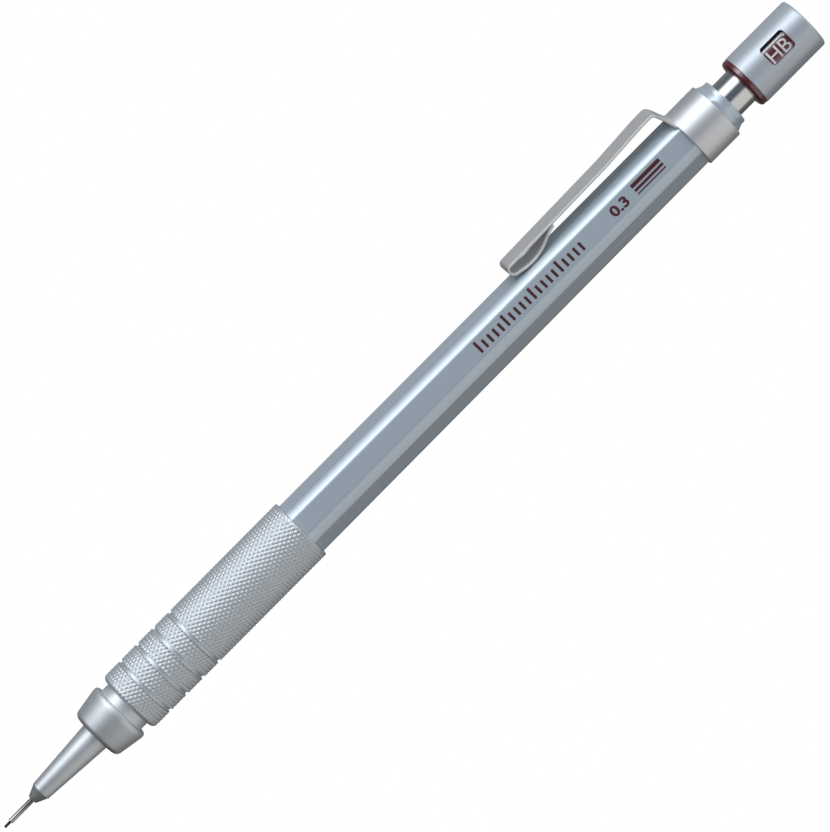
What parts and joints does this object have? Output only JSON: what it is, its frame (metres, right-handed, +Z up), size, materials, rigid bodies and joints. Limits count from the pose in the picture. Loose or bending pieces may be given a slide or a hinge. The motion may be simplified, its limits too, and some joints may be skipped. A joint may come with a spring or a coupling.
{
  "type": "mechanical pencil",
  "caption": "Slim metal drafting pencil for 0.3 mm leads, with a knurled grip, pocket clip, push cap with a lead grade window, and a working clutch inside.",
  "frame": {"origin": "on the pencil's axis, at the open end of the guide pipe", "axes": "+X along the axis, from the tip to the push cap; +Z up, with the pencil lying on its grip and one edge of its clip, and the clip low on the +Y side"},
  "size_m": [0.1501, 0.0117, 0.0094],
  "materials": {
    "satin_silver": "satin",
    "knurled_silver": "satin",
    "bright_chrome": "polished",
    "polished_steel": "polished",
    "dark_metal": "satin",
    "clip_steel": "satin",
    "maroon_gloss": "gloss",
    "brass": "satin",
    "spring_steel": "satin",
    "black_plastic": "matte",
    "rubber_black": "matte",
    "eraser_white": "matte",
    "graphite": "satin"
  },
  "bodies": {
    "barrel": {"barrel": "satin_silver", "grip_sleeve": "knurled_silver", "neck_joint": "bright_chrome", "nose_collar": "satin_silver", "nose_cone": "satin_silver", "front_bush": "dark_metal", "guide_pipe": "polished_steel", "lead_retainer": "rubber_black", "chuck_seat": "brass", "mechanism_sleeve": "brass", "return_spring": "spring_steel", "clip_band": "clip_steel"},
    "plunger": {"collet": "brass", "lead_tube": "black_plastic", "ferrule": "bright_chrome", "eraser": "eraser_white", "cleaning_pin": "spring_steel", "spare_leads": "graphite"},
    "cap": {"push_cap": "satin_silver"},
    "grade_sleeve": {"grade_sleeve": "maroon_gloss"},
    "clutch_ring": {"clutch_ring": "brass"},
    "jaw_1": {"jaw_1": "brass"},
    "jaw_2": {"jaw_2": "brass"},
    "jaw_3": {"jaw_3": "brass"},
    "lead": {"lead": "graphite"},
    "clip": {"clip_strap": "clip_steel"}
  },
  "joints": [
    {"name": "push", "type": "slide", "parent": "barrel", "child": "plunger", "axis": [-1, 0, 0], "range_m": [0, 0.0026], "stiffness_N_per_m": 1200, "springref_m": -0.003, "deforming": ["return_spring"]},
    {"name": "clutch_ring_slide", "type": "slide", "parent": "barrel", "child": "clutch_ring", "axis": [-1, 0, 0], "range_m": [0, 0.00065]},
    {"name": "jaw_1_flex", "type": "hinge", "parent": "plunger", "child": "jaw_1", "pos_m": [0.027, 0.0006, -0.00032], "axis": [0, -0.4674, -0.884], "range_deg": [0, 1.2]},
    {"name": "jaw_2_flex", "type": "hinge", "parent": "plunger", "child": "jaw_2", "pos_m": [0.027, -0.00003, 0.00068], "axis": [0, 0.9993, 0.0372], "range_deg": [0, 1.2]},
    {"name": "jaw_3_flex", "type": "hinge", "parent": "plunger", "child": "jaw_3", "pos_m": [0.027, -0.00058, -0.00036], "axis": [0, -0.5319, 0.8468], "range_deg": [0, 1.2]},
    {"name": "lead_feed", "type": "slide", "parent": "barrel", "child": "lead", "axis": [-1, 0, 0], "range_m": [-0.001, 0.003]},
    {"name": "clip_flex", "type": "hinge", "parent": "barrel", "child": "clip", "pos_m": [0.127, 0.00371, -0.00196], "axis": [0, -0.4674, -0.884], "range_deg": [0, 6], "stiffness_Nm_per_rad": 1.2},
    {"name": "cap_pull", "type": "slide", "parent": "plunger", "child": "cap", "axis": [1, 0, 0], "range_m": [0, 0.0105]},
    {"name": "grade_turn", "type": "hinge", "parent": "cap", "child": "grade_sleeve", "pos_m": [0.14, 0, 0], "axis": [1, 0, 0], "continuous": true}
  ],
  "couplings": [
    {"joint": "clutch_ring_slide", "follows": "push", "ratio": 0.25},
    {"joint": "jaw_1_flex", "follows": "push", "rad_per_m": 8.0546},
    {"joint": "jaw_2_flex", "follows": "push", "rad_per_m": 8.0546},
    {"joint": "jaw_3_flex", "follows": "push", "rad_per_m": 8.0546}
  ]
}
